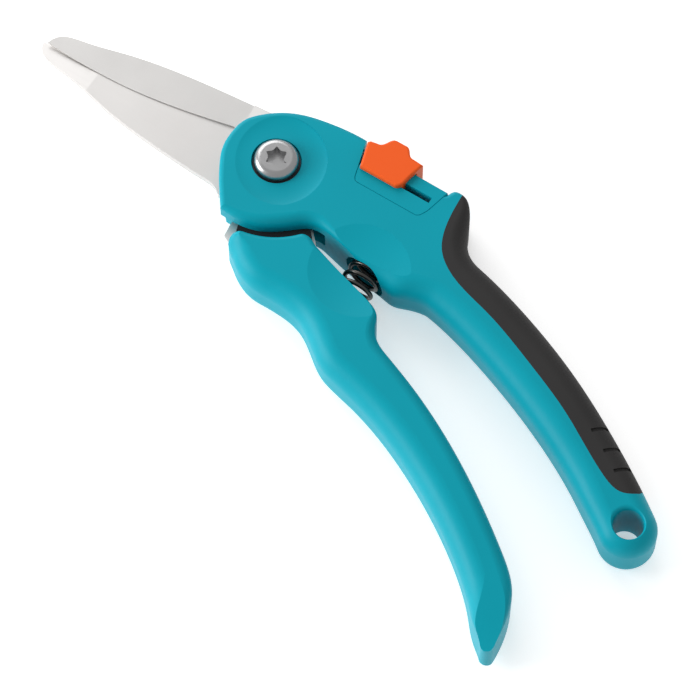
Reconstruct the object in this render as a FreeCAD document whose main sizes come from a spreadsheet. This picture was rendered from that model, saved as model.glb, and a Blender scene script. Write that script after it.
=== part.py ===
import FreeCAD, Part
import math
import os
from FreeCAD import Placement, Rotation, Vector

# Pruning shears with bypass blades, in millimetres.
# The pivot axis is Z and the closed blades point along -X.
# The resting face of the upper handle's back ear is at Z = 0.
SIZES = {
    "blade_reach": 70.0,
    "grip_length": 80.0,
    "handle_thick": 15.0,
    "head_radius": 13.8,
    "back_ear": 5.2,
    "blade_thick": 2.0,
    "edge_thick": 0.2,
    "grind_width": 13.0,
    "blade_gap": 0.1,
    "plate_thick": 1.0,
    "plate_gap": 0.3,
    "bush_radius": 4.0,
    "running_gap": 0.05,
    "screw_radius": 3.0,
    "screw_gap": 0.1,
    "screw_head_radius": 5.5,
    "screw_head_height": 3.0,
    "washer_radius": 5.9,
    "washer_thick": 0.6,
    "counterbore_radius": 6.2,
    "counterbore_depth": 2.0,
    "dish_radius": 12.5,
    "dish_depth": 0.5,
    "dish_tilt": 2.2,
    "scoop_radius": 12.5,
    "scoop_depth": 0.9,
    "nut_across": 9.0,
    "nut_thick": 3.4,
    "nut_recess": 0.6,
    "nut_gap": 0.1,
    "hang_radius": 3.7,
    "hang_rim": 1.1,
    "hang_wall": 3.4,
    "hang_roll": 4.5,
    "mark_depth": 0.45,
    "core_inset": 2.6,
    "spring_radius": 4.75,
    "wire_radius": 0.6,
    "spring_turns": 7.0,
    "seat_radius": 6.0,
    "upper_seat": -4.0,
    "lower_seat": -25.0,
    "saddle_wall": 1.4,
    "saddle_gap": 0.2,
    "saddle_rim": 0.6,
    "lock_travel": 5.5,
    "bolt_thick": 1.8,
    "bolt_width": 2.8,
}

doc = FreeCAD.newDocument("pruning_shears")
sheet = doc.addObject("Spreadsheet::Sheet", "Sizes")
for row, (name, value) in enumerate(SIZES.items(), 1):
    sheet.set("A%d" % row, name)
    sheet.set("B%d" % row, str(value))
    sheet.setAlias("B%d" % row, name)
doc.recompute()


# ---------------------------------------------------------------- levels
THICK = SIZES["handle_thick"]
SLOT_LOW = SIZES["back_ear"]
REAR_TOP = SLOT_LOW + SIZES["blade_thick"]
FRONT_LOW = REAR_TOP + SIZES["blade_gap"]
FRONT_TOP = FRONT_LOW + SIZES["blade_thick"]
PLATE_TOP = FRONT_TOP + SIZES["plate_thick"]
SLOT_HIGH = PLATE_TOP + SIZES["plate_gap"]
SLOT_WIDTH = "2 * Sizes.blade_thick + Sizes.blade_gap + Sizes.plate_thick + Sizes.plate_gap"
SEAT = THICK - SIZES["counterbore_depth"]
SPRING_X = 33.1


# ------------------------------------------------------- sketch helpers
def point(place):
    return Vector(place[0], place[1], 0)


def heading(degrees):
    angle = math.radians(degrees)
    return Vector(math.cos(angle), math.sin(angle), 0)


def line(start, end):
    return Part.LineSegment(point(start), point(end))


def arc(start, middle, end):
    return Part.Arc(point(start), point(middle), point(end))


def curve(places, start_heading=None, end_heading=None):
    spline = Part.BSplineCurve()
    places = [point(place) for place in places]
    if start_heading is None:
        spline.interpolate(Points=places)
    else:
        spline.interpolate(
            Points=places,
            InitialTangent=heading(start_heading),
            FinalTangent=heading(end_heading),
        )
    return spline


def polygon(corners):
    following = corners[1:] + corners[:1]
    return [line(start, end) for start, end in zip(corners, following)]


def circle(centre, radius):
    return [Part.Circle(point(centre), Vector(0, 0, 1), radius)]


def on_circle(radius, degrees):
    angle = math.radians(degrees)
    return (radius * math.cos(angle), radius * math.sin(angle))


def beside(centre, distance, degrees):
    offset = on_circle(distance, degrees)
    return (centre[0] + offset[0], centre[1] + offset[1])


def origin_plane(body, role):
    for feature in body.Origin.OriginFeatures:
        if feature.Role == role:
            return feature
    raise ValueError(role)


def add_sketch(body, name, height, outline):
    sketch = body.newObject("Sketcher::SketchObject", name)
    sketch.AttachmentSupport = [(origin_plane(body, "XY_Plane"), "")]
    sketch.MapMode = "FlatFace"
    sketch.AttachmentOffset = Placement(Vector(0, 0, height), Rotation())
    for piece in outline:
        sketch.addGeometry(piece, False)
    return sketch


def new_body(label):
    body = doc.addObject("PartDesign::Body", label)
    body.Label = label
    return body


# A pad rises from its sketch.  A pocket goes down from its sketch.
def pad(body, name, low, length, outline):
    sketch = add_sketch(body, name + "_sketch", low, outline)
    feature = body.newObject("PartDesign::Pad", name)
    feature.Profile = sketch
    set_size(feature, "Length", length)
    finish_feature(body, feature, sketch)
    return feature


def pocket(body, name, high, depth, outline):
    sketch = add_sketch(body, name + "_sketch", high, outline)
    feature = body.newObject("PartDesign::Pocket", name)
    feature.Profile = sketch
    set_size(feature, "Length", depth)
    finish_feature(body, feature, sketch)
    return feature


def set_size(feature, field, size):
    if isinstance(size, str):
        feature.setExpression(field, size)
    else:
        setattr(feature, field, size)


def finish_feature(body, feature, sketch=None):
    if sketch is not None:
        sketch.Visibility = False
    body.Tip = feature
    doc.recompute()


def cylinder(body, kind, name, radius, height, place, rotation=None):
    feature = body.newObject("PartDesign::%sCylinder" % kind, name)
    feature.AttachmentSupport = [(origin_plane(body, "XY_Plane"), "")]
    feature.MapMode = "FlatFace"
    feature.AttachmentOffset = Placement(place, rotation or Rotation())
    set_size(feature, "Radius", radius)
    set_size(feature, "Height", height)
    finish_feature(body, feature)
    return feature


def top_edges(shape, height, radius):
    names = []
    for number, edge in enumerate(shape.Edges, 1):
        if hasattr(edge.Curve, "Radius"):
            level = abs(edge.Curve.Center.z - height) < 1e-4
            same = abs(edge.Curve.Radius - radius) < 1e-3
            if level and same and abs(edge.Curve.Axis.z) > 0.99:
                names.append("Edge%d" % number)
    return names


def level_edges(shape, height):
    names = []
    for number, edge in enumerate(shape.Edges, 1):
        if all(abs(vertex.Z - height) < 1e-4 for vertex in edge.Vertexes):
            names.append("Edge%d" % number)
    return names


def dress(body, kind, name, edges, size):
    base = body.Tip
    feature = body.newObject("PartDesign::" + kind, name)
    feature.Base = (base, edges)
    set_size(feature, "Radius" if kind == "Fillet" else "Size", size)
    finish_feature(body, feature)
    return feature


# ------------------------------------------------- moulded handle blanks
def head(x, y):
    scale = SIZES["head_radius"] / 13.8
    return (x * scale, y * scale)


def grip(x, y):
    scale = SIZES["grip_length"] / 80.0
    return (48.0 + (x - 48.0) * scale, -6.0 + (y + 6.0) * scale)


def hanging_centre():
    return grip(121.3, -36.4)


# Each piece of a handle outline carries the rim radius at its two ends.
def upper_outline():
    hang = hanging_centre()
    end_radius = SIZES["hang_radius"] + SIZES["hang_wall"]
    roll = SIZES["hang_roll"]
    hang_low = beside(hang, end_radius, -129)
    hang_high = beside(hang, end_radius, 53)
    crown = [(15.6, 16.7), head(5.0, 15.9), head(-4.9, 12.9), head(-11.5, 7.6), head(-13.8, 0)]
    cheek = [head(-13.8, 0), head(-13.2, -4.2), head(-11.2, -8.4), (-4.6, -18.0)]
    skirt = [(-4.6, -18.0), (6.0, -16.7), (13.4, -11.4)]
    throat = [(13.4, -11.4), (17.0, -9.3), (20.5, -9.4)]
    neck = [(20.5, -9.4), (30.0, -11.5), (38.5, -13.5)]
    step = [(38.5, -13.5), (42.4, -14.1), (45.8, -12.9), (49.4, -12.0), (53.5, -12.5)]
    belly = [(53.5, -12.5), grip(67.5, -16.5), grip(87.5, -24.5), grip(103.0, -32.7)]
    tail = [grip(103.0, -32.7), grip(110.0, -37.2), hang_low]
    back = [hang_high, grip(109.0, -19.5), grip(89.0, -8.3), grip(69.0, -0.3), (56.5, 3.1)]
    thumb_rest = [(56.5, 3.1), (51.7, 5.6), (48.8, 10.6)]
    horn = [(48.8, 10.6), (46.1, 15.0), (42.6, 16.6)]
    horn_front = [(42.6, 16.6), (41.0, 16.1), (40.2, 14.6)]
    outline = [
        (curve(crown, 178, 270), 1.2, 1.2),
        (curve(cheek, 270, -53), 1.2, 1.2),
        (curve(skirt, -4, 41), 1.2, 2.8),
        (curve(throat, 41, -10), 2.8, 2.8),
        (curve(neck, -10, -14), 2.8, 1.4),
        (curve(step, -14, -12), 1.4, 5.5),
        (curve(belly, -12, -31), 5.5, 5.5),
        (curve(tail, -31, -39), 5.5, roll),
        (arc(hang_low, beside(hang, end_radius, -38), hang_high), roll, roll),
        (curve(back, 143, 168), roll, 5.0),
        (curve(thumb_rest, 168, 115), 5.0, 3.5),
        (curve(horn, 115, 180), 3.5, 1.2),
        (curve(horn_front, 180, 245), 1.2, 1.2),
    ]
    return outline + [(piece, 0, 0) for piece in lock_notch()]


# The notch in the neck that the lock guide snaps into.
def lock_notch():
    right_lean = math.degrees(math.atan2(8.6 - 14.6, 38.8 - 40.2))
    left_lean = math.degrees(math.atan2(9.0 - 6.8, 17.8 - 18.4))
    return [
        line((40.2, 14.6), (38.8, 8.6)),
        curve([(38.8, 8.6), (38.0, 6.6), (36.2, 5.3)], right_lean, 180),
        line((36.2, 5.3), (20.0, 5.3)),
        curve([(20.0, 5.3), (19.0, 5.75), (18.4, 6.8)], 180, left_lean),
        line((18.4, 6.8), (17.8, 9.0)),
        line((17.8, 9.0), (15.6, 16.7)),
    ]


def lower_outline():
    shoulder = 20.7
    tip = grip(108.7, -78.8)
    tip_radius = 1.7
    tip_out = beside(tip, tip_radius, -140)
    tip_in = beside(tip, tip_radius, 5)
    nose = [on_circle(shoulder, -80), (1.3, -22.8), (5.4, -27.4)]
    heel = [(5.4, -27.4), (12.0, -30.5), (18.5, -30.7)]
    knuckle = [(18.5, -30.7), (27.5, -32.4), (36.7, -38.8), (47.5, -42.2)]
    outer = [(47.5, -42.2), grip(67.5, -49.8), grip(87.5, -61.9), grip(98.6, -71.3)]
    hook_out = [grip(98.6, -71.3), grip(103.6, -76.6), tip_out]
    hook_in = [tip_in, grip(110.0, -74.4), grip(106.9, -64.8), grip(99.5, -57.3)]
    inner = [grip(99.5, -57.3), grip(79.4, -43.2), grip(59.3, -32.7), (50.0, -29.0)]
    swell = [(50.0, -29.0), (45.2, -26.2), (43.4, -23.0)]
    bump = [(43.4, -23.0), (41.6, -20.9), (38.5, -19.6)]
    seat_side = [(38.5, -19.6), (30.0, -17.2), (21.0, -14.4)]
    corner = [(21.0, -14.4), (18.2, -13.1), on_circle(shoulder, -41)]
    return [
        (arc(on_circle(shoulder, -41), on_circle(shoulder, -60), on_circle(shoulder, -80)), 1.2, 1.2),
        (curve(nose, 190, -38), 1.2, 3.5),
        (curve(heel, -38, -2), 3.5, 5.0),
        (curve(knuckle, -2, -14), 5.0, 5.2),
        (curve(outer, -14, -45), 5.2, 5.2),
        (curve(hook_out, -45, -50), 5.2, 1.5),
        (arc(tip_out, beside(tip, tip_radius, -70), tip_in), 1.5, 1.5),
        (curve(hook_in, 95, 142), 1.5, 3.0),
        (curve(inner, 142, 159), 3.0, 3.0),
        (curve(swell, 159, 110), 3.0, 1.5),
        (curve(bump, 110, 163), 1.5, 1.5),
        (curve(seat_side, 163, 162), 1.5, 1.2),
        (curve(corner, 162, 229), 1.2, 1.2),
    ]


def same_place(first, second):
    return abs(first.x - second.x) < 1e-4 and abs(first.y - second.y) < 1e-4


def rim_radii(shape, outline):
    radii = []
    for number, edge in enumerate(shape.Edges, 1):
        start = edge.valueAt(edge.FirstParameter)
        end = edge.valueAt(edge.LastParameter)
        if abs(start.z - end.z) > 1e-6:
            continue
        for piece, first, last in outline:
            if first == 0:
                continue
            if same_place(start, piece.StartPoint) and same_place(end, piece.EndPoint):
                radii.append((number, first, last))
            elif same_place(end, piece.StartPoint) and same_place(start, piece.EndPoint):
                radii.append((number, last, first))
    return radii


def moulded_blank(name, outline):
    sketch = doc.addObject("Sketcher::SketchObject", name + "_outline")
    for piece, first, last in outline:
        sketch.addGeometry(piece, False)
    block = doc.addObject("Part::Extrusion", name + "_block")
    block.Base = sketch
    block.DirMode = "Normal"
    block.Solid = True
    block.setExpression("LengthFwd", "Sizes.handle_thick")
    doc.recompute()
    blank = doc.addObject("Part::Fillet", name + "_blank")
    blank.Base = block
    blank.Edges = rim_radii(block.Shape, outline)
    doc.recompute()
    return blank


def body_on(label, blank):
    body = new_body(label)
    body.BaseFeature = blank
    doc.recompute()
    return body


# The line where the soft grip meets the hard handle, from the thumb rest
# down the grip and back to the outer edge beside the hanging hole.
def grip_line():
    return curve(
        [
            (43.6, 13.0),
            (44.4, 7.2),
            (47.0, 0.8),
            (52.0, -3.3),
            grip(64.8, -7.6),
            grip(79.7, -13.3),
            grip(94.7, -20.2),
            grip(109.7, -28.9),
            grip(115.0, -30.6),
            grip(119.5, -28.2),
        ]
    )


def grip_region():
    edge = grip_line()
    first = (43.0, 22.0)
    last = grip(121.5, -20.0)
    return [line(first, (43.6, 13.0)), edge, line(grip(119.5, -28.2), last), line(last, first)]


def handle_side_region():
    corner = grip(121.5, -20.0)
    far = (150.0 + SIZES["grip_length"], corner[1])
    low = (far[0], -150.0 - SIZES["grip_length"])
    return [
        line((43.0, 22.0), (43.6, 13.0)),
        grip_line(),
        line(grip(119.5, -28.2), corner),
        line(corner, far),
        line(far, low),
        line(low, (-60.0, low[1])),
        line((-60.0, low[1]), (-60.0, 22.0)),
        line((-60.0, 22.0), (43.0, 22.0)),
    ]


# A tongue of the hard handle runs inside the soft grip and keys it.
def tongue_outline():
    return [
        curve(
            [(46.4, 8.0), (49.2, 3.6), (54.5, 0.4), grip(69.0, -3.4), grip(89.0, -11.6), grip(108.0, -22.3)]
        ),
        line(grip(108.0, -22.3), grip(104.0, -28.0)),
        line(grip(104.0, -28.0), (50.0, -6.0)),
        line((50.0, -6.0), (44.0, 4.0)),
        line((44.0, 4.0), (46.4, 8.0)),
    ]


def tongue_low():
    return SIZES["core_inset"] + 0.8


def tongue_depth():
    return THICK - 2 * tongue_low()


# ------------------------------------------------------ blade outlines
def blade(x, y):
    scale = SIZES["blade_reach"] / 70.0
    return (-12.0 + (x + 12.0) * scale, y)


def front_blade_outline():
    disc = 12.6
    return [
        curve(
            [
                blade(-68.5, 0.4),
                blade(-67.2, 2.8),
                blade(-60.0, 5.3),
                blade(-50.0, 7.7),
                blade(-35.0, 10.4),
                (-20.0, 12.0),
                (-9.0, 12.9),
            ]
        ),
        line((-9.0, 12.9), on_circle(disc, 90)),
        arc(on_circle(disc, 90), on_circle(disc, 75), on_circle(disc, 60)),
        line(on_circle(disc, 60), on_circle(10.4, 57)),
        line(on_circle(10.4, 57), on_circle(10.4, 38)),
        line(on_circle(10.4, 38), on_circle(disc, 34)),
        arc(on_circle(disc, 34), on_circle(disc, 5), on_circle(disc, -20)),
        line(on_circle(disc, -20), (18.2, -11.0)),
        line((18.2, -11.0), (24.6, -18.5)),
        line((24.6, -18.5), (25.6, -26.6)),
        line((25.6, -26.6), (42.0, -32.0)),
        line((42.0, -32.0), (40.5, -36.6)),
        line((40.5, -36.6), (27.0, -29.8)),
        line((27.0, -29.8), (13.0, -28.2)),
        line((13.0, -28.2), (4.0, -24.6)),
        line((4.0, -24.6), (-1.2, -21.8)),
        line((-1.2, -21.8), on_circle(disc, -100)),
        arc(on_circle(disc, -100), on_circle(disc, -150), on_circle(disc, 170)),
        line(on_circle(disc, 170), (-16.0, 5.4)),
        curve([(-16.0, 5.4), (-28.0, 2.9), (-40.0, 1.0), blade(-54.0, 0.1), blade(-68.5, 0.4)]),
    ]


def rear_blade_outline():
    disc = 12.6
    return [
        curve(
            [
                blade(-70.0, 0.6),
                blade(-69.4, -1.1),
                blade(-60.9, -4.0),
                blade(-45.9, -7.2),
                (-30.9, -9.2),
                (-14.0, -10.3),
            ]
        ),
        curve([(-14.0, -10.3), (-11.2, -10.9), (-9.4, -12.2)]),
        line((-9.4, -12.2), on_circle(disc, -105)),
        arc(on_circle(disc, -105), on_circle(disc, -60), on_circle(disc, -14)),
        line(on_circle(disc, -14), (40.0, -2.8)),
        line((40.0, -2.8), (40.0, 1.6)),
        line((40.0, 1.6), (20.0, 3.9)),
        line((20.0, 3.9), on_circle(disc, 24)),
        arc(on_circle(disc, 24), on_circle(disc, 90), on_circle(disc, 148)),
        line(on_circle(disc, 148), (-16.0, 7.0)),
        curve([(-16.0, 7.0), (-30.0, 5.4), (-48.0, 3.1), blade(-70.0, 0.6)]),
    ]


def plate_outline():
    disc = 12.4
    return [
        arc(on_circle(disc, -24), on_circle(disc, 90), on_circle(disc, -98)),
        line(on_circle(disc, -98), (1.2, -20.3)),
        line((1.2, -20.3), (4.0, -23.4)),
        line((4.0, -23.4), (14.0, -25.6)),
        line((14.0, -25.6), (23.0, -18.6)),
        line((23.0, -18.6), (17.4, -11.2)),
        line((17.4, -11.2), on_circle(disc, -24)),
    ]


# ------------------------------------------------------------ sub-parts
# The back ear stops short of the front one at the lower corner of the head,
# so that the heel of the lower handle can pass it.
def back_ear_corner():
    return polygon(
        [(-13.0, -8.6), (-11.0, -8.8), (-5.6, -14.6), (4.0, -15.2), (4.0, -21.0), (-13.0, -21.0)]
    )


# The front ear is dished round the screw.  The dish leans, so it is deepest
# towards the neck and runs out at the front of the head.
def cut_pivot_dish(body):
    radius = SIZES["dish_radius"]
    low = THICK - SIZES["dish_depth"]
    side = curve([(radius - 5.0, low), (radius - 1.6, low + 0.22), (radius, THICK + 0.1)], 0, 22)
    outline = [
        line((0, low), (radius - 5.0, low)),
        side,
        line((radius, THICK + 0.1), (radius, THICK + 2)),
        line((radius, THICK + 2), (0, THICK + 2)),
        line((0, THICK + 2), (0, low)),
    ]
    sketch = side_sketch(body, "Dish_sketch", (0, 0), 0, outline)
    across = heading(120)
    lean = Placement(Vector(0, 0, 0), Rotation(across, SIZES["dish_tilt"]), Vector(0, 0, THICK))
    sketch.AttachmentOffset = lean.multiply(sketch.AttachmentOffset)
    dish = body.newObject("PartDesign::Groove", "Dish")
    dish.Profile = sketch
    dish.ReferenceAxis = (sketch, ["V_Axis"])
    dish.Angle = 360
    finish_feature(body, dish, sketch)


# A shallow round scoop crosses both handles over the spring, front and back.
def cut_scoops(body):
    depth = SIZES["scoop_depth"]
    radius = (SIZES["scoop_radius"] ** 2 + depth ** 2) / (2 * depth)
    middle = (SIZES["upper_seat"] + SIZES["lower_seat"]) / 2
    for name, height in (("FrontScoop", THICK - depth + radius), ("BackScoop", depth - radius)):
        scoop = body.newObject("PartDesign::SubtractiveSphere", name)
        scoop.AttachmentSupport = [(origin_plane(body, "XY_Plane"), "")]
        scoop.MapMode = "FlatFace"
        scoop.AttachmentOffset = Placement(Vector(SPRING_X, middle, height), Rotation())
        scoop.Radius = radius
        finish_feature(body, scoop)


# A sketch that stands on edge, with its own x along a direction from a place
# in the plan and its own y upwards.
def side_sketch(body, name, start, direction, outline):
    sketch = body.newObject("Sketcher::SketchObject", name)
    sketch.AttachmentSupport = [(origin_plane(body, "XY_Plane"), "")]
    sketch.MapMode = "FlatFace"
    along = heading(direction)
    upward = Vector(0, 0, 1)
    facing = Rotation(along, upward, along.cross(upward), "XYZ")
    sketch.AttachmentOffset = Placement(Vector(start[0], start[1], 0), facing)
    for piece in outline:
        sketch.addGeometry(piece, False)
    return sketch


def side_pocket(body, name, start, direction, width, outline):
    sketch = side_sketch(body, name + "_sketch", start, direction, outline)
    cut = body.newObject("PartDesign::Pocket", name)
    cut.Profile = sketch
    cut.SideType = "Symmetric"
    cut.Length = width
    finish_feature(body, cut, sketch)


# Both mouths of the hanging hole are rolled over to a soft lip.
def round_mouths(body, centre):
    inner = SIZES["hang_radius"]
    lip = SIZES["hang_rim"]
    for name, level, side in (("FrontLip", THICK, 1), ("BackLip", 0.0, -1)):
        deep = (inner, level - side * lip)
        over = (inner + lip, level)
        turning = (inner + 0.293 * lip, level - side * 0.293 * lip)
        outline = [
            arc(deep, turning, over),
            line(over, (inner + lip, level + side)),
            line((inner + lip, level + side), (inner - 1, level + side)),
            line((inner - 1, level + side), (inner - 1, level - side * lip)),
            line((inner - 1, level - side * lip), deep),
        ]
        sketch = side_sketch(body, name + "_sketch", centre, 0, outline)
        groove = body.newObject("PartDesign::Groove", name)
        groove.Profile = sketch
        groove.ReferenceAxis = (sketch, ["V_Axis"])
        groove.Angle = 360
        finish_feature(body, groove, sketch)


# The hooked end of the lower handle thins towards its tip on both faces.
def thin_hook(body):
    start = grip(107.0, -64.5)
    for name, level, side in (("FrontTaper", THICK, 1), ("BackTaper", 0.0, -1)):
        fall = [0.0, 0.35, 1.5, 5.4]
        slope = [(step * 6.5, level - side * drop) for step, drop in enumerate(fall)]
        surface = curve(slope, 0, -side * 40)
        above = level + side * 2
        outline = [
            surface,
            line(slope[3], (19.5, above)),
            line((19.5, above), (0, above)),
            line((0, above), slope[0]),
        ]
        side_pocket(body, name, start, -86, 40, outline)


def make_upper_handle(blank):
    body = body_on("upper_handle", blank)
    pocket(body, "GripRebate", THICK + 1, THICK + 2, grip_region())
    pad(body, "GripTongue", tongue_low(), tongue_depth(), tongue_outline())
    pocket(body, "BackEarCorner", SLOT_LOW, SLOT_LOW + 1, back_ear_corner())
    cut_pivot_dish(body)
    cut_scoops(body)
    slot = circle((0, 0), 22.0)
    pocket(body, "BladeSlot", SLOT_HIGH, SLOT_WIDTH, slot)
    pocket(body, "TangSlot", REAR_TOP, "Sizes.blade_thick", rear_blade_outline())
    cylinder(body, "Subtractive", "PivotHole", "Sizes.screw_radius + Sizes.screw_gap", THICK + 2, Vector(0, 0, -1))
    pocket(body, "Counterbore", THICK + 1, "Sizes.counterbore_depth + 1", circle((0, 0), SIZES["counterbore_radius"]))
    hexagon = nut_hexagon(SIZES["nut_across"] + 2 * SIZES["nut_gap"])
    pocket(body, "NutRecess", SIZES["nut_recess"] + SIZES["nut_thick"], SIZES["nut_recess"] + SIZES["nut_thick"], hexagon)
    turn = Rotation(Vector(1, 0, 0), 90)
    seat = Vector(SPRING_X, SIZES["upper_seat"], THICK / 2)
    cylinder(body, "Subtractive", "SpringSeat", "Sizes.seat_radius", 14.0, seat, turn)
    centre = hanging_centre()
    foot = Vector(centre[0], centre[1], -1)
    cylinder(body, "Subtractive", "HangingHole", "Sizes.hang_radius", THICK + 2, foot)
    round_mouths(body, centre)
    return body


# A finger groove across the rolled outer edge of the grip, front and back.
def cut_grip_mark(body, number, place):
    roll = SIZES["hang_roll"]
    depth = SIZES["mark_depth"]
    for name, level, side in (("FrontMark", THICK, 1), ("BackMark", 0.0, -1)):
        centre = (-roll, level - side * roll)
        low = [beside(centre, roll - depth, side * degrees) for degrees in (92, 50, 8)]
        high = [beside(centre, roll + 1.5, side * degrees) for degrees in (92, 50, 8)]
        outline = [
            arc(low[0], low[1], low[2]),
            line(low[2], high[2]),
            arc(high[2], high[1], high[0]),
            line(high[0], low[0]),
        ]
        side_pocket(body, "%s%d" % (name, number), place, 48, 0.9, outline)


def make_soft_grip(blank):
    body = body_on("soft_grip", blank)
    pocket(body, "HandleSide", THICK + 1, THICK + 2, handle_side_region())
    pocket(body, "TongueHollow", THICK - tongue_low(), tongue_depth(), tongue_outline())
    for number, place in enumerate([grip(104.9, -17.3), grip(110.0, -20.3), grip(114.7, -23.4)], 1):
        cut_grip_mark(body, number, place)
    return body


def make_lower_handle(blank):
    body = body_on("lower_handle", blank)
    pocket(body, "TangSlot", FRONT_TOP, "Sizes.blade_thick", front_blade_outline())
    pocket(body, "PlateSlot", PLATE_TOP, "Sizes.plate_thick", plate_outline())
    turn = Rotation(Vector(1, 0, 0), -90)
    seat = Vector(SPRING_X, SIZES["lower_seat"], THICK / 2)
    cylinder(body, "Subtractive", "SpringSeat", "Sizes.seat_radius", 12.0, seat, turn)
    cut_scoops(body)
    thin_hook(body)
    return body


def make_rear_blade():
    body = new_body("rear_blade")
    pad(body, "Plate", SLOT_LOW, "Sizes.blade_thick", rear_blade_outline())
    cylinder(body, "Subtractive", "BushHole", "Sizes.bush_radius", 6.0, Vector(0, 0, SLOT_LOW - 2))
    tip = blade(-53.0, 0.0)
    relief = polygon([(0, REAR_TOP), (24, REAR_TOP - 1.1), (24, REAR_TOP + 1), (0, REAR_TOP + 1)])
    side_pocket(body, "TipRelief", tip, 180, 60, relief)
    return body


def make_front_blade():
    body = new_body("front_blade")
    pad(body, "Plate", FRONT_LOW, "Sizes.blade_thick", front_blade_outline())
    hole = "Sizes.bush_radius + Sizes.running_gap"
    cylinder(body, "Subtractive", "BushHole", hole, 6.0, Vector(0, 0, FRONT_LOW - 2))
    grind_front_blade(body)
    return body


# The front blade is ground from its back to a thin cutting edge, from
# the tip to where it enters the head.
def grind_front_blade(body):
    edge_level = FRONT_LOW + SIZES["edge_thick"]
    ground = polygon(
        [
            (-SIZES["grind_width"], FRONT_TOP),
            (0, edge_level),
            (5, edge_level),
            (5, FRONT_TOP + 1),
            (-SIZES["grind_width"], FRONT_TOP + 1),
        ]
    )
    middle = blade(-42.0, 0.75)
    side_pocket(body, "Grind", middle, -84.6, SIZES["blade_reach"] - 13, ground)


def make_spacer_plate():
    body = new_body("spacer_plate")
    pad(body, "Plate", FRONT_TOP, "Sizes.plate_thick", plate_outline())
    hole = "Sizes.bush_radius + Sizes.running_gap"
    cylinder(body, "Subtractive", "BushHole", hole, 6.0, Vector(0, 0, FRONT_TOP - 2))
    return body


def make_pivot_bush():
    body = new_body("pivot_bush")
    body.Placement = Placement(Vector(0, 0, SLOT_LOW), Rotation())
    cylinder(body, "Additive", "Sleeve", "Sizes.bush_radius", SLOT_WIDTH, Vector(0, 0, 0))
    bore = "Sizes.screw_radius + Sizes.screw_gap"
    cylinder(body, "Subtractive", "Bore", bore, 10.0, Vector(0, 0, -2))
    return body


def make_pivot_washer():
    body = new_body("pivot_washer")
    body.Placement = Placement(Vector(0, 0, SEAT), Rotation())
    cylinder(body, "Additive", "Disc", "Sizes.washer_radius", "Sizes.washer_thick", Vector(0, 0, 0))
    bore = "Sizes.screw_radius + Sizes.screw_gap"
    cylinder(body, "Subtractive", "Bore", bore, 4.0, Vector(0, 0, -2))
    return body


def lobed_recess():
    places = []
    for step in range(12):
        radius = 2.8 if step % 2 == 0 else 2.05
        places.append(point(on_circle(radius, 30 * step)))
    spline = Part.BSplineCurve()
    spline.interpolate(Points=places, PeriodicFlag=True)
    return [spline]


def make_pivot_screw():
    body = new_body("pivot_screw")
    under_head = SEAT + SIZES["washer_thick"]
    end = SIZES["nut_recess"] + 0.3
    body.Placement = Placement(Vector(0, 0, under_head), Rotation())
    shank = under_head - end
    cylinder(body, "Additive", "Shank", "Sizes.screw_radius", shank, Vector(0, 0, -shank))
    cylinder(body, "Additive", "Head", "Sizes.screw_head_radius", "Sizes.screw_head_height", Vector(0, 0, 0))
    height = SIZES["screw_head_height"]
    rim = top_edges(body.Shape, under_head + height, SIZES["screw_head_radius"])
    dress(body, "Fillet", "HeadDome", rim, height * 0.55)
    pocket(body, "DriverRecess", height, 2.0, lobed_recess())
    return body


def nut_hexagon(across):
    corner = across / math.sqrt(3)
    return polygon([on_circle(corner, 60 * step) for step in range(6)])


def make_pivot_nut():
    body = new_body("pivot_nut")
    body.Placement = Placement(Vector(0, 0, SIZES["nut_recess"]), Rotation())
    pad(body, "Hexagon", 0, "Sizes.nut_thick", nut_hexagon(SIZES["nut_across"]))
    cylinder(body, "Subtractive", "Thread", "Sizes.screw_radius", 8.0, Vector(0, 0, -2))
    return body


def guide_outline():
    top = [line((17.8, 9.0), (18.2, 14.8)), line((18.2, 14.8), (40.2, 14.6))]
    return lock_notch()[:5] + top


def guide_low():
    return 0.3 + SIZES["saddle_wall"] + SIZES["saddle_gap"]


def guide_high():
    return THICK - 0.05


def saddle_high():
    return guide_high() + SIZES["saddle_gap"] + SIZES["saddle_wall"]


BOLT_Y = 10.7
BOLT_X = 9.7
STEM = (25.0, 30.0)


def box(x_low, x_high, y_low, y_high):
    return polygon([(x_low, y_low), (x_high, y_low), (x_high, y_high), (x_low, y_high)])


def make_lock_guide():
    body = new_body("lock_guide")
    low = guide_low()
    high = guide_high()
    pad(body, "Insert", low, high - low, guide_outline())
    end = STEM[1] + SIZES["lock_travel"] + 2.1
    pocket(body, "StemSlot", high + 1, high - low + 2, box(22.0, end, BOLT_Y - 0.8, BOLT_Y + 0.8))
    half = SIZES["bolt_width"] / 2 + 0.3
    bolt_low = FRONT_LOW + 0.1
    top = bolt_low + SIZES["bolt_thick"] + 0.3
    pocket(body, "BoltChannel", top, SIZES["bolt_thick"] + 0.6, box(10.0, end, BOLT_Y - half, BOLT_Y + half))
    seam = seam_edges(body.Tip.Shape, high)
    dress(body, "Chamfer", "SeamEdge", seam, 0.25)
    return body


# The edges along the seam between the guide and the handle's front face.
def seam_edges(shape, height):
    names = []
    for name in level_edges(shape, height):
        edge = shape.getElement(name)
        middle = edge.valueAt((edge.FirstParameter + edge.LastParameter) / 2)
        if middle.y < 8.9 or middle.x > 38.7:
            names.append(name)
    return names


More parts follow.
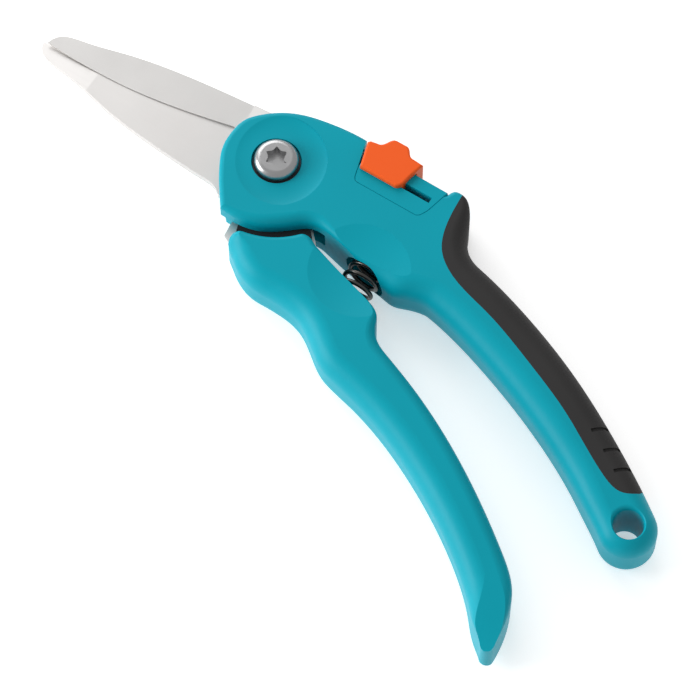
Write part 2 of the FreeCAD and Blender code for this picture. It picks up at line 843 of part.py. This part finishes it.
def make_lock_slider():
    body = new_body("lock_slider")
    side = [
        line((18.5, 8.9), (28.6, 8.9)),
        curve([(28.6, 8.9), (29.7, 9.8), (30.3, 12.5), (30.9, 15.0), (31.4, 17.3)]),
        line((31.4, 17.3), (28.6, 17.5)),
        curve([(28.6, 17.5), (27.0, 18.3), (26.2, 19.3), (24.8, 19.7)]),
        line((24.8, 19.7), (22.6, 19.7)),
        curve([(22.6, 19.7), (21.4, 19.2), (20.4, 17.6), (18.6, 16.5)]),
        line((18.6, 16.5), (17.0, 16.2)),
        line((17.0, 16.2), (16.5, 15.6)),
        line((16.5, 15.6), (18.5, 8.9)),
    ]
    high = saddle_high()
    pad(body, "Saddle", 0.3, high - 0.3, side)
    dress(body, "Fillet", "SaddleRims", level_edges(body.Tip.Shape, high), "Sizes.saddle_rim")
    wall = SIZES["saddle_wall"]
    inside = box(5.0, 50.0, 0.0, 15.1)
    pocket(body, "Channel", high - wall, high - 0.3 - 2 * wall, inside)
    pad(body, "Stem", 1.0, high - 2.0, box(STEM[0], STEM[1], BOLT_Y - 0.7, BOLT_Y + 0.7))
    return body


def make_lock_bolt():
    body = new_body("lock_bolt")
    half = SIZES["bolt_width"] / 2
    body.Placement = Placement(Vector(BOLT_X, BOLT_Y, FRONT_LOW + 0.1), Rotation())
    length = STEM[1] - BOLT_X + 1.6
    nose = [(0, -half + 0.5), (0.6, -half), (length, -half), (length, half), (0.6, half), (0, half - 0.5)]
    pad(body, "Strip", 0, "Sizes.bolt_thick", polygon(nose))
    window = box(STEM[0] - BOLT_X, STEM[1] - BOLT_X, -0.7, 0.7)
    pocket(body, "StemWindow", SIZES["bolt_thick"] + 1, SIZES["bolt_thick"] + 2, window)
    return body


def make_return_spring():
    body = new_body("return_spring")
    start = SIZES["upper_seat"] - SIZES["wire_radius"] - 0.2
    end = SIZES["lower_seat"] + SIZES["wire_radius"] + 0.2
    turn = Rotation(Vector(1, 0, 0), 90)
    body.Placement = Placement(Vector(SPRING_X, start, THICK / 2), turn)
    sketch = body.newObject("Sketcher::SketchObject", "WireSketch")
    sketch.AttachmentSupport = [(origin_plane(body, "XZ_Plane"), "")]
    sketch.MapMode = "FlatFace"
    mean = SIZES["spring_radius"] - SIZES["wire_radius"]
    sketch.addGeometry(circle((mean, 0), SIZES["wire_radius"])[0], False)
    coil = body.newObject("PartDesign::AdditiveHelix", "Coil")
    coil.Profile = sketch
    coil.ReferenceAxis = (sketch, ["V_Axis"])
    coil.Mode = "height-turns-angle"
    coil.Height = start - end
    coil.setExpression("Turns", "Sizes.spring_turns")
    coil.Angle = 0
    coil.LeftHanded = False
    coil.Reversed = False
    finish_feature(body, coil, sketch)
    return body


def check(feature):
    bad = [state for state in feature.State if state in ("Invalid", "Error")]
    if bad:
        raise RuntimeError("%s is %s" % (feature.Label, bad))


upper_blank = moulded_blank("upper", upper_outline())
lower_blank = moulded_blank("lower", lower_outline())
sub_parts = [
    make_upper_handle(upper_blank),
    make_soft_grip(upper_blank),
    make_lower_handle(lower_blank),
    make_rear_blade(),
    make_front_blade(),
    make_spacer_plate(),
    make_pivot_bush(),
    make_pivot_washer(),
    make_pivot_screw(),
    make_pivot_nut(),
    make_lock_guide(),
    make_lock_slider(),
    make_lock_bolt(),
    make_return_spring(),
]
doc.recompute()

for feature in doc.Objects:
    check(feature)

os.makedirs("parts", exist_ok=True)
for sub_part in sub_parts:
    shape = sub_part.Shape
    if shape.isNull() or not shape.isValid():
        raise RuntimeError("%s has no valid shape" % sub_part.Label)
    shape.exportStep("parts/%s.step" % sub_part.Label)
    print(sub_part.Label, round(shape.Volume, 1), len(shape.Solids))
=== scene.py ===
import math

import bpy
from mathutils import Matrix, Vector


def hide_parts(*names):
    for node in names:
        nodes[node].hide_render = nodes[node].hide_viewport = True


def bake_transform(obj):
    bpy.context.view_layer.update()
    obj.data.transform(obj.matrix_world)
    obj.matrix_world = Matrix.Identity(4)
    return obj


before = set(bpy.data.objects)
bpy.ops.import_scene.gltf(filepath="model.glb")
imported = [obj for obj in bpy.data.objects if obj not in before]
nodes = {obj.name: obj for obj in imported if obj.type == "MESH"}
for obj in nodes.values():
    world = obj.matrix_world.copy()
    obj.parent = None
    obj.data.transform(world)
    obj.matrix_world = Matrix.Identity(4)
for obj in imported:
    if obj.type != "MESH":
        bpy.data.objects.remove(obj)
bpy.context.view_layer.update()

# ---------------------------------------------------------------- upper handle
# The fixed handle is one glass-filled nylon moulding: a forked head round the
# pivot, a neck that holds the lock, and a grip that ends in a hanging hole.
# It comes out of a spark-eroded mould, so its skin is satin with a fine grain.
TEAL = (0.0, 0.325, 0.415, 1.0)
GRAIN_HEIGHT = 0.00004
FLOW_SCALE = 38.0
SKIN_SPECULAR = 0.14


def fresh_material(name, metallic, roughness):
    material = bpy.data.materials.new(name)
    material.use_nodes = True
    shader = material.node_tree.nodes["Principled BSDF"]
    shader.inputs["Metallic"].default_value = metallic
    shader.inputs["Roughness"].default_value = roughness
    return material, shader


def wear(piece, material):
    piece.data.materials.clear()
    piece.data.materials.append(material)


def new_group(name, inputs, outputs):
    group = bpy.data.node_groups.new(name, "ShaderNodeTree")
    for label, kind, value in inputs:
        socket = group.interface.new_socket(
            name=label, in_out="INPUT", socket_type="NodeSocket" + kind
        )
        socket.default_value = value
    for label, kind in outputs:
        group.interface.new_socket(
            name=label, in_out="OUTPUT", socket_type="NodeSocket" + kind
        )
    entry = group.nodes.new("NodeGroupInput")
    result = group.nodes.new("NodeGroupOutput")
    return group, entry, result


def add_tint(group, entry, scale, result):
    tint = group.nodes.new("ShaderNodeVectorMath")
    tint.operation = "SCALE"
    group.links.new(entry.outputs["Base"], tint.inputs[0])
    group.links.new(scale.outputs["Result"], tint.inputs["Scale"])
    group.links.new(tint.outputs["Vector"], result.inputs["Color"])


def add_bump(group, entry, texture, depth, height, result):
    bump = group.nodes.new("ShaderNodeBump")
    bump.inputs["Distance"].default_value = height
    group.links.new(texture.outputs["Fac"], bump.inputs["Height"])
    group.links.new(entry.outputs[depth], bump.inputs["Strength"])
    group.links.new(bump.outputs["Normal"], result.inputs["Normal"])


def add_roughness(group, entry, texture, low, high, result):
    spread = group.nodes.new("ShaderNodeMapRange")
    spread.inputs["To Min"].default_value = low
    spread.inputs["To Max"].default_value = high
    group.links.new(texture.outputs["Fac"], spread.inputs["Value"])
    rough = group.nodes.new("ShaderNodeMath")
    group.links.new(spread.outputs["Result"], rough.inputs[0])
    group.links.new(entry.outputs["Gloss"], rough.inputs[1])
    group.links.new(rough.outputs[0], result.inputs["Roughness"])


def plug_skin(tree, skin, shader):
    tree.links.new(skin.outputs["Color"], shader.inputs["Base Color"])
    for name in ("Roughness", "Normal"):
        tree.links.new(skin.outputs[name], shader.inputs[name])


def build_moulded_skin():
    group, entry, result = new_group(
        "moulded_skin",
        [
            ("Base", "Color", (0.5, 0.5, 0.5, 1.0)),
            ("Tone Change", "Float", 0.05),
            ("Grain Size", "Float", 2200.0),
            ("Grain Depth", "Float", 0.2),
            ("Gloss", "Float", 0.4),
        ],
        [("Color", "Color"), ("Roughness", "Float"), ("Normal", "Vector")],
    )
    make = group.nodes.new
    join = group.links.new
    place = make("ShaderNodeTexCoord")
    flow = make("ShaderNodeTexNoise")
    flow.inputs["Scale"].default_value = FLOW_SCALE
    flow.inputs["Detail"].default_value = 3.0
    join(place.outputs["Object"], flow.inputs["Vector"])
    tone = make("ShaderNodeMapRange")
    tone.inputs["From Min"].default_value = 0.3
    tone.inputs["From Max"].default_value = 0.7
    join(flow.outputs["Fac"], tone.inputs["Value"])
    low = make("ShaderNodeMath")
    low.operation = "SUBTRACT"
    low.inputs[0].default_value = 1.0
    join(entry.outputs["Tone Change"], low.inputs[1])
    join(low.outputs[0], tone.inputs["To Min"])
    high = make("ShaderNodeMath")
    high.inputs[0].default_value = 1.0
    join(entry.outputs["Tone Change"], high.inputs[1])
    join(high.outputs[0], tone.inputs["To Max"])
    add_tint(group, entry, tone, result)
    grain = make("ShaderNodeTexNoise")
    grain.inputs["Detail"].default_value = 2.0
    join(place.outputs["Object"], grain.inputs["Vector"])
    join(entry.outputs["Grain Size"], grain.inputs["Scale"])
    add_bump(group, entry, grain, depth="Grain Depth", height=GRAIN_HEIGHT, result=result)
    add_roughness(group, entry, grain, low=-0.05, high=0.07, result=result)
    return group


moulded_skin = build_moulded_skin()


def moulded(name, colour, gloss, grain_size, grain_depth, tone_change):
    material, shader = fresh_material(name, metallic=0.0, roughness=gloss)
    shader.inputs["Specular IOR Level"].default_value = SKIN_SPECULAR
    tree = material.node_tree
    skin = tree.nodes.new("ShaderNodeGroup")
    skin.node_tree = moulded_skin
    skin.inputs["Base"].default_value = colour
    skin.inputs["Tone Change"].default_value = tone_change
    skin.inputs["Grain Size"].default_value = grain_size
    skin.inputs["Grain Depth"].default_value = grain_depth
    skin.inputs["Gloss"].default_value = gloss
    plug_skin(tree, skin, shader)
    return material


teal_nylon = moulded(
    "teal_nylon",
    TEAL,
    gloss=0.42,
    grain_size=2200.0,
    grain_depth=0.25,
    tone_change=0.03,
)
wear(nodes["upper_handle"], teal_nylon)

# ------------------------------------------------------------------- soft grip
# A pad of dark thermoplastic rubber, moulded over the outer side of the fixed
# handle and keyed on to a tongue inside it.  Its skin is dull and fine grained.
grip_rubber = moulded(
    "grip_rubber",
    (0.034, 0.033, 0.033, 1.0),
    gloss=0.62,
    grain_size=2600.0,
    grain_depth=0.5,
    tone_change=0.06,
)
wear(nodes["soft_grip"], grip_rubber)

# ----------------------------------------------------------------------- lock
# A teal insert snaps into the neck and carries a slot.  An orange saddle rides
# on it and pushes a steel strip towards the heel of the moving blade.
lock_teal = moulded(
    "lock_teal",
    TEAL,
    gloss=0.40,
    grain_size=2600.0,
    grain_depth=0.15,
    tone_change=0.02,
)
wear(nodes["lock_guide"], lock_teal)
orange_nylon = moulded(
    "orange_nylon",
    (0.90, 0.118, 0.018, 1.0),
    gloss=0.38,
    grain_size=2600.0,
    grain_depth=0.12,
    tone_change=0.02,
)
wear(nodes["lock_slider"], orange_nylon)

LINE_HEIGHT = 0.00002
CLOUD_SCALE = 60.0


def build_drawn_metal():
    group, entry, result = new_group(
        "drawn_metal",
        [
            ("Base", "Color", (0.7, 0.7, 0.7, 1.0)),
            ("Line Stretch", "Vector", (60.0, 1600.0, 60.0)),
            ("Line Depth", "Float", 0.1),
            ("Gloss", "Float", 0.3),
        ],
        [("Color", "Color"), ("Roughness", "Float"), ("Normal", "Vector")],
    )
    make = group.nodes.new
    join = group.links.new
    place = make("ShaderNodeTexCoord")
    stretch = make("ShaderNodeVectorMath")
    stretch.operation = "MULTIPLY"
    join(place.outputs["Object"], stretch.inputs[0])
    join(entry.outputs["Line Stretch"], stretch.inputs[1])
    lines = make("ShaderNodeTexNoise")
    lines.inputs["Scale"].default_value = 1.0
    lines.inputs["Detail"].default_value = 4.0
    join(stretch.outputs["Vector"], lines.inputs["Vector"])
    cloud = make("ShaderNodeTexNoise")
    cloud.inputs["Scale"].default_value = CLOUD_SCALE
    cloud.inputs["Detail"].default_value = 3.0
    join(place.outputs["Object"], cloud.inputs["Vector"])
    shade = make("ShaderNodeMapRange")
    shade.inputs["To Min"].default_value = 0.93
    shade.inputs["To Max"].default_value = 1.05
    join(cloud.outputs["Fac"], shade.inputs["Value"])
    add_tint(group, entry, shade, result)
    add_bump(group, entry, lines, depth="Line Depth", height=LINE_HEIGHT, result=result)
    add_roughness(group, entry, lines, low=-0.06, high=0.08, result=result)
    return group


drawn_metal = build_drawn_metal()


def metal(name, colour, gloss, stretch, depth):
    material, shader = fresh_material(name, metallic=1.0, roughness=gloss)
    tree = material.node_tree
    skin = tree.nodes.new("ShaderNodeGroup")
    skin.node_tree = drawn_metal
    skin.inputs["Base"].default_value = colour
    skin.inputs["Line Stretch"].default_value = stretch
    skin.inputs["Line Depth"].default_value = depth
    skin.inputs["Gloss"].default_value = gloss
    plug_skin(tree, skin, shader)
    return material


strip_steel = metal(
    "strip_steel", (0.60, 0.60, 0.60, 1.0), gloss=0.32, stretch=(60.0, 1600.0, 1600.0), depth=0.2
)
wear(nodes["lock_bolt"], strip_steel)

# --------------------------------------------------------------------- blades
# Two stamped stainless blades.  The rear one is moulded into the fixed handle
# and is left flat; the moving one is ground across its width to its edge.
# The rear blade's steel is painted darker than the moving blade's: painted shade on the same
# stainless steel.
blade_steel = metal(
    "blade_steel", (0.68, 0.663, 0.65, 1.0), gloss=0.45, stretch=(90.0, 1500.0, 900.0), depth=0.06
)
wear(nodes["rear_blade"], blade_steel)
ground_steel = metal(
    "ground_steel", (0.77, 0.755, 0.74, 1.0), gloss=0.45, stretch=(1500.0, 90.0, 900.0), depth=0.06
)
wear(nodes["front_blade"], ground_steel)

# --------------------------------------------------------------- spacer plate
# A thin black low-friction plate between the moving blade and the front ear.
# It is stamped from sheet, sits on the bush, and turns with the moving blade.
black_sheet = moulded(
    "black_sheet",
    (0.022, 0.022, 0.024, 1.0),
    gloss=0.40,
    grain_size=1800.0,
    grain_depth=0.2,
    tone_change=0.1,
)
wear(nodes["spacer_plate"], black_sheet)

# ---------------------------------------------------------------------- pivot
# A turned screw with a domed head and a six-lobe recess holds the head
# together through a steel bush, with a dark washer and a sunk hexagon nut.
screw_steel = metal(
    "screw_steel", (0.45, 0.45, 0.455, 1.0), gloss=0.30, stretch=(260.0, 260.0, 260.0), depth=0.04
)
wear(nodes["pivot_screw"], screw_steel)
wear(nodes["pivot_nut"], screw_steel)
wear(nodes["pivot_bush"], strip_steel)
black_washer = metal(
    "black_washer", (0.05, 0.05, 0.055, 1.0), gloss=0.45, stretch=(900.0, 900.0, 900.0), depth=0.2
)
wear(nodes["pivot_washer"], black_washer)

# --------------------------------------------------------------- lower handle
# The moving handle is the same satin nylon moulding, with a hooked end that
# keeps the hand from slipping and a seat for the spring.
wear(nodes["lower_handle"], teal_nylon)

# -------------------------------------------------------------- return spring
# A coil of hard-drawn spring wire stands between the two handles and pushes
# them apart.  It is wound on a mandrel, with an end turn seated in each handle.
# Lengths are in metres, and SPRING_PLACE is the x and z of the coil's axis.
SPRING_PLACE = (0.0331, 0.0075)
SPRING_RADIUS = 0.00415
WIRE_RADIUS = 0.0006
SPRING_TOP = -0.0048
SPRING_BOTTOM = -0.0242
SPRING_TURNS = 7
WIRE_SIDES = 14
STEPS_A_TURN = 40


def wind_spring():
    bpy.ops.object.select_all(action="DESELECT")
    bpy.ops.mesh.primitive_circle_add(
        vertices=WIRE_SIDES,
        radius=WIRE_RADIUS,
        location=(SPRING_RADIUS, 0.0, 0.0),
        rotation=(math.radians(90), 0.0, 0.0),
    )
    coil = bpy.context.object
    coil.name = "spring_wire"
    bpy.ops.object.transform_apply(location=True, rotation=True, scale=True)
    screw = coil.modifiers.new("wind", "SCREW")
    screw.axis = "Z"
    screw.angle = math.radians(360)
    screw.iterations = SPRING_TURNS
    screw.screw_offset = (SPRING_TOP - SPRING_BOTTOM) / SPRING_TURNS
    screw.steps = STEPS_A_TURN
    screw.render_steps = STEPS_A_TURN
    screw.use_smooth_shade = True
    bpy.ops.object.modifier_apply(modifier="wind")
    bpy.ops.object.mode_set(mode="EDIT")
    bpy.ops.mesh.select_mode(type="EDGE")
    bpy.ops.mesh.select_all(action="DESELECT")
    bpy.ops.mesh.select_non_manifold()
    bpy.ops.mesh.edge_face_add()
    bpy.ops.mesh.select_all(action="SELECT")
    bpy.ops.mesh.normals_make_consistent(inside=False)
    bpy.ops.object.mode_set(mode="OBJECT")
    coil.rotation_euler = (math.radians(90), 0.0, 0.0)
    coil.location = (SPRING_PLACE[0], SPRING_TOP, SPRING_PLACE[1])
    bpy.ops.object.transform_apply(location=True, rotation=True, scale=True)
    return coil


spring_wire = metal(
    "spring_wire", (0.09, 0.085, 0.08, 1.0), gloss=0.30, stretch=(500.0, 500.0, 500.0), depth=0.2
)
spring = wind_spring()
wear(spring, spring_wire)
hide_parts("return_spring")
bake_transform(spring)

# ----------------------------------------------------------- floor and lights
# A pale table top under the resting face, with two soft lights: one high on
# the far left, and one lower on the near left.  Both stay out of the mirror
# direction of the flat faces, which would burn out the blades.
CENTRE = Vector((0.0426, -0.0336, 0.015))
FLOOR_SIZE = 6.0
FLOOR_TOP = -0.0002
bpy.ops.object.select_all(action="DESELECT")
bpy.ops.mesh.primitive_plane_add(size=FLOOR_SIZE, location=(0.0, 0.0, FLOOR_TOP))
floor = bpy.context.object
floor.name = "floor"
floor_paint, floor_shader = fresh_material("floor_paint", metallic=0.0, roughness=0.8)
floor_shader.inputs["Base Color"].default_value = (0.93, 0.93, 0.93, 1.0)
floor_shader.inputs["Emission Color"].default_value = (1.0, 1.0, 1.0, 1.0)
floor_shader.inputs["Emission Strength"].default_value = 0.46
wear(floor, floor_paint)


def soft_light(name, offset, size, power):
    data = bpy.data.lights.new(name, "AREA")
    data.shape = "SQUARE"
    data.size = size
    data.energy = power
    lamp = bpy.data.objects.new(name, data)
    bpy.context.scene.collection.objects.link(lamp)
    lamp.location = CENTRE + Vector(offset)
    lamp.rotation_euler = (-Vector(offset)).to_track_quat("-Z", "Y").to_euler()
    return lamp


soft_light("overhead", offset=(-0.75, 0.55, 0.55), size=0.8, power=5.0)
soft_light("left_side", offset=(-0.80, -0.50, 0.35), size=0.6, power=8.5)

world = bpy.data.worlds.new("studio")
bpy.context.scene.world = world
world.use_nodes = True
world.node_tree.nodes["Background"].inputs["Color"].default_value = (1.0, 1.0, 1.0, 1.0)
world.node_tree.nodes["Background"].inputs["Strength"].default_value = 0.52

# --------------------------------------------------------------------- camera
# A long lens from the near right and well above, level from side to side, so
# the tool is seen with almost no perspective.
EYE = Vector((0.239585, -0.344009, 0.803488))
LENS = 187.9
SENSOR_WIDTH = 36.0
camera_data = bpy.data.cameras.new("camera")
camera_data.lens = LENS
camera_data.sensor_width = SENSOR_WIDTH
camera = bpy.data.objects.new("camera", camera_data)
bpy.context.scene.collection.objects.link(camera)
camera.location = EYE
camera.rotation_euler = (CENTRE - EYE).to_track_quat("-Z", "Y").to_euler()
bpy.context.scene.camera = camera
bpy.context.scene.view_settings.view_transform = "Standard"
